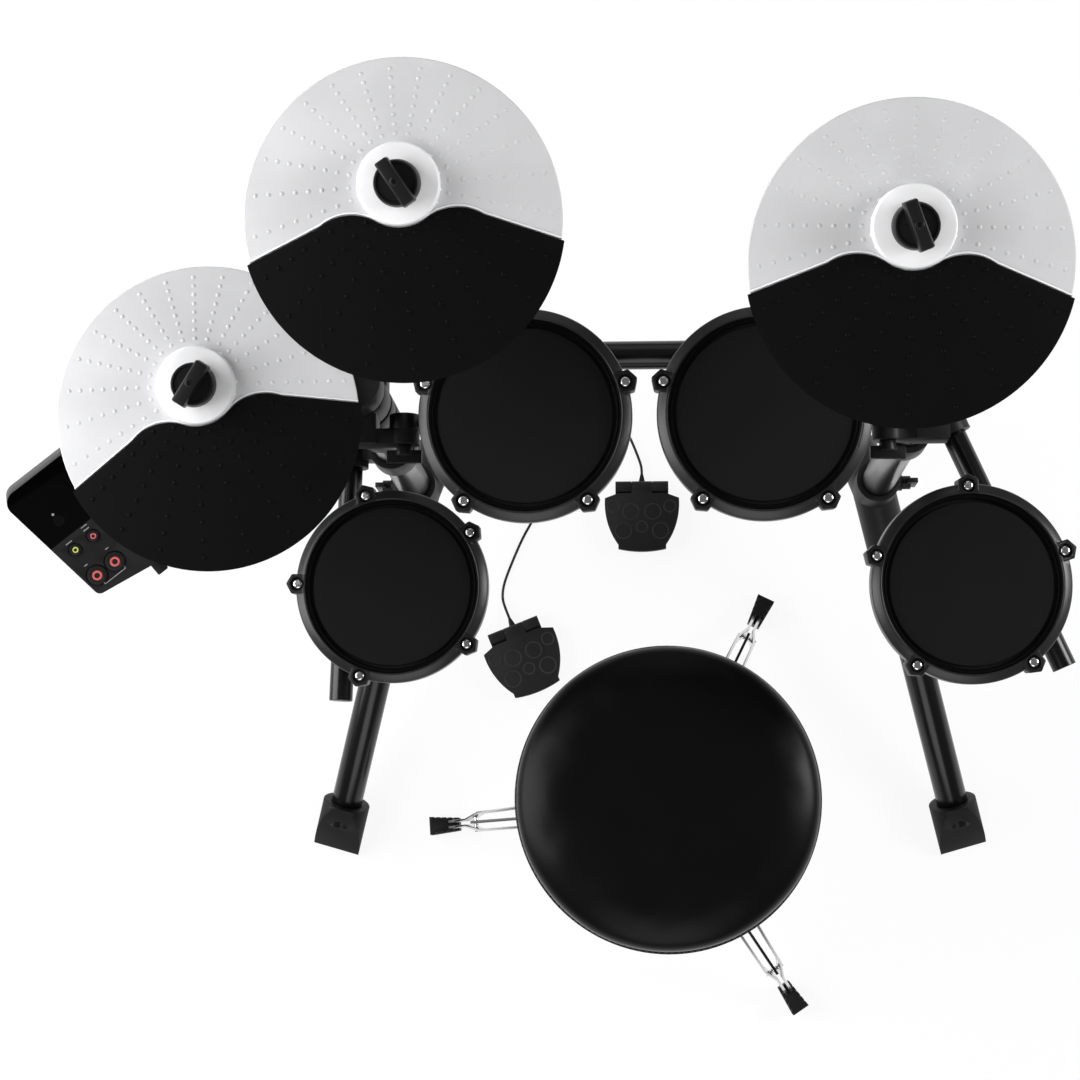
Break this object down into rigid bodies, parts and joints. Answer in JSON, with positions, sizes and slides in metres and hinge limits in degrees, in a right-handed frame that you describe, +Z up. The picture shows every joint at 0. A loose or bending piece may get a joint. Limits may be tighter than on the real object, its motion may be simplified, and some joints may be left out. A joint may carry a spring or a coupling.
{
  "type": "electronic drum kit",
  "caption": "Compact electronic drum kit on a black tube rack with mesh pads, rubber-topped cymbal pads, a tilting sound module, switch pedals and a round padded throne.",
  "frame": {"origin": "on the floor under the middle of the kit's plan box", "axes": "+X to the drummer's right, +Y away from the drummer, +Z up"},
  "size_m": [0.9632, 0.8294, 0.8963],
  "materials": {
    "black_tube": "semi-gloss black paint",
    "black_rod": "satin black paint",
    "black_moulding": "fine grained black moulding",
    "black_bolt": "matte black",
    "black_rubber": "matte black rubber",
    "black_pedal": "grained black moulding",
    "bright_bar": "bright chrome",
    "black_vinyl": "black vinyl with a stitched lower seam",
    "cord_rubber": "black cord jacket",
    "module_shell": "matte black",
    "module_face": "gloss black above, satin dark grey below",
    "board_green": "green solder mask",
    "yellow_button": "yellow-green ring",
    "red_button": "pink-red ring with a dark core",
    "pad_shell": "matte black",
    "mesh_head": "charcoal woven mesh",
    "hoop_rubber": "matte black rubber",
    "screw_chrome": "bright chrome",
    "cymbal_grey": "pale silver grey with raised dots",
    "strike_rubber": "matte black rubber with raised dots"
  },
  "bodies": {
    "frame": {"leg_tubes": "black_tube", "leg_hubs": "black_moulding", "rubber_feet": "black_rubber", "posts": "black_tube", "crossbar": "black_tube", "post_clamps": "black_moulding", "mount_rods": "black_rod", "clamp_bolts": "black_bolt", "cymbal_cups": "black_rubber", "module_bracket": "black_rod", "pedal_bases": "black_moulding", "throne_legs": "bright_bar", "throne_tube": "black_tube", "kick_cord": "cord_rubber", "kick_cord_coil": "cord_rubber", "hihat_cord": "cord_rubber", "hihat_cord_coil": "cord_rubber", "cord_plugs": "black_moulding"},
    "left_wing": {"left_arm": "black_tube", "left_arm_clamp": "black_moulding", "snare_holder": "black_moulding"},
    "right_wing": {"right_arm": "black_tube", "right_arm_clamp": "black_moulding", "floor_tom_holder": "black_moulding"},
    "module": {"module_case": "module_shell", "module_cover": "module_face", "circuit_board": "board_green"},
    "kick_plate": {"kick_treadle": "black_pedal"},
    "hihat_plate_of_pedal": {"hihat_treadle": "black_pedal"},
    "seat_stem": {"seat_post": "bright_bar"},
    "seat": {"seat_cushion": "black_vinyl"},
    "snare_pad": {"snare_shell": "pad_shell", "snare_head": "mesh_head", "snare_hoop": "hoop_rubber", "snare_screws": "screw_chrome"},
    "left_tom_pad": {"left_tom_shell": "pad_shell", "left_tom_head": "mesh_head", "left_tom_hoop": "hoop_rubber", "left_tom_screws": "screw_chrome"},
    "right_tom_pad": {"right_tom_shell": "pad_shell", "right_tom_head": "mesh_head", "right_tom_hoop": "hoop_rubber", "right_tom_screws": "screw_chrome"},
    "floor_tom_pad": {"floor_tom_shell": "pad_shell", "floor_tom_head": "mesh_head", "floor_tom_hoop": "hoop_rubber", "floor_tom_screws": "screw_chrome"},
    "crash_cymbal": {"crash_plate": "cymbal_grey", "crash_strike_pad": "strike_rubber"},
    "crash_nut": {"crash_wing_nut": "black_bolt"},
    "ride_cymbal": {"ride_plate": "cymbal_grey", "ride_strike_pad": "strike_rubber"},
    "ride_nut": {"ride_wing_nut": "black_bolt"},
    "hihat_cymbal": {"hihat_plate": "cymbal_grey", "hihat_strike_pad": "strike_rubber"},
    "hihat_nut": {"hihat_wing_nut": "black_bolt"},
    "yellow_button": {"yellow_button": "yellow_button"},
    "red_button": {"red_button": "red_button"},
    "left_pad_button": {"left_pad_button": "red_button"},
    "right_pad_button": {"right_pad_button": "red_button"}
  },
  "joints": [
    {"name": "left_arm_swing", "type": "hinge", "parent": "frame", "child": "left_wing", "pos_m": [-0.1508, 0.1411, 0.41], "axis": [0, 0, 1], "range_deg": [-12, 12]},
    {"name": "right_arm_swing", "type": "hinge", "parent": "frame", "child": "right_wing", "pos_m": [0.3332, 0.1411, 0.465], "axis": [0, 0, 1], "range_deg": [-12, 12]},
    {"name": "snare_tilt", "type": "hinge", "parent": "left_wing", "child": "snare_pad", "pos_m": [-0.14265, 0.00238, 0.428], "axis": [0.9995, -0.0314, 0], "range_deg": [-13, 8]},
    {"name": "floor_tom_tilt", "type": "hinge", "parent": "right_wing", "child": "floor_tom_pad", "pos_m": [0.37804, -0.00545, 0.483], "axis": [0.9178, 0.3971, 0], "range_deg": [-13, 7]},
    {"name": "left_tom_tilt", "type": "hinge", "parent": "frame", "child": "left_tom_pad", "pos_m": [-0.0078, 0.1175, 0.646], "axis": [1, 0, 0], "range_deg": [-12, 12]},
    {"name": "right_tom_tilt", "type": "hinge", "parent": "frame", "child": "right_tom_pad", "pos_m": [0.1902, 0.1175, 0.646], "axis": [1, 0, 0], "range_deg": [-12, 12]},
    {"name": "crash_rock", "type": "hinge", "parent": "frame", "child": "crash_cymbal", "pos_m": [-0.09788, 0.26469, 0.84516], "axis": [0.9978, 0.0663, 0], "range_deg": [-3, 3], "stiffness_Nm_per_rad": 6, "springref_deg": -0.86},
    {"name": "crash_nut_spin", "type": "hinge", "parent": "frame", "child": "crash_nut", "pos_m": [-0.0979, 0.265, 0.844], "axis": [0.0172, -0.2583, 0.9659], "continuous": true},
    {"name": "ride_rock", "type": "hinge", "parent": "frame", "child": "ride_cymbal", "pos_m": [0.29689, 0.22279, 0.85216], "axis": [0.9997, -0.0244, 0], "range_deg": [-3, 3], "stiffness_Nm_per_rad": 6, "springref_deg": -0.86},
    {"name": "ride_nut_spin", "type": "hinge", "parent": "frame", "child": "ride_nut", "pos_m": [0.2969, 0.2231, 0.851], "axis": [-0.0063, -0.2587, 0.9659], "continuous": true},
    {"name": "hihat_rock", "type": "hinge", "parent": "frame", "child": "hihat_cymbal", "pos_m": [-0.27714, 0.1334, 0.72718], "axis": [0.9563, 0.2924, 0], "range_deg": [-3, 3], "stiffness_Nm_per_rad": 6, "springref_deg": -0.86},
    {"name": "hihat_nut_spin", "type": "hinge", "parent": "frame", "child": "hihat_nut", "pos_m": [-0.2772, 0.1336, 0.726], "axis": [0.0508, -0.1661, 0.9848], "continuous": true},
    {"name": "module_tilt", "type": "hinge", "parent": "frame", "child": "module", "pos_m": [-0.36983, 0.10074, 0.52262], "axis": [0.7826, 0.6225, 0], "range_deg": [-12, 12]},
    {"name": "yellow_button_press", "type": "slide", "parent": "module", "child": "yellow_button", "axis": [-0.2923, 0.3674, -0.8829], "range_m": [0, 0.0012], "stiffness_N_per_m": 900, "springref_m": -0.0006},
    {"name": "red_button_press", "type": "slide", "parent": "module", "child": "red_button", "axis": [-0.2923, 0.3674, -0.8829], "range_m": [0, 0.0012], "stiffness_N_per_m": 900, "springref_m": -0.0006},
    {"name": "left_pad_button_press", "type": "slide", "parent": "module", "child": "left_pad_button", "axis": [-0.2923, 0.3674, -0.8829], "range_m": [0, 0.0012], "stiffness_N_per_m": 900, "springref_m": -0.0006},
    {"name": "right_pad_button_press", "type": "slide", "parent": "module", "child": "right_pad_button", "axis": [-0.2923, 0.3674, -0.8829], "range_m": [0, 0.0012], "stiffness_N_per_m": 900, "springref_m": -0.0006},
    {"name": "kick_treadle_press", "type": "hinge", "parent": "frame", "child": "kick_plate", "pos_m": [0.0875, 0.1726, 0.0155], "axis": [1, 0, 0], "range_deg": [0, 4], "stiffness_Nm_per_rad": 4, "springref_deg": -2.86},
    {"name": "hihat_treadle_press", "type": "hinge", "parent": "frame", "child": "hihat_plate_of_pedal", "pos_m": [-0.0575, 0.009, 0.0155], "axis": [0.9285, 0.3714, 0], "range_deg": [0, 4], "stiffness_Nm_per_rad": 4, "springref_deg": -2.86},
    {"name": "seat_lift", "type": "slide", "parent": "frame", "child": "seat_stem", "axis": [0, 0, 1], "range_m": [-0.04, 0.05]},
    {"name": "seat_turn", "type": "hinge", "parent": "seat_stem", "child": "seat", "pos_m": [0.1107, -0.1917, 0.34335], "axis": [0, 0, 1], "continuous": true}
  ]
}
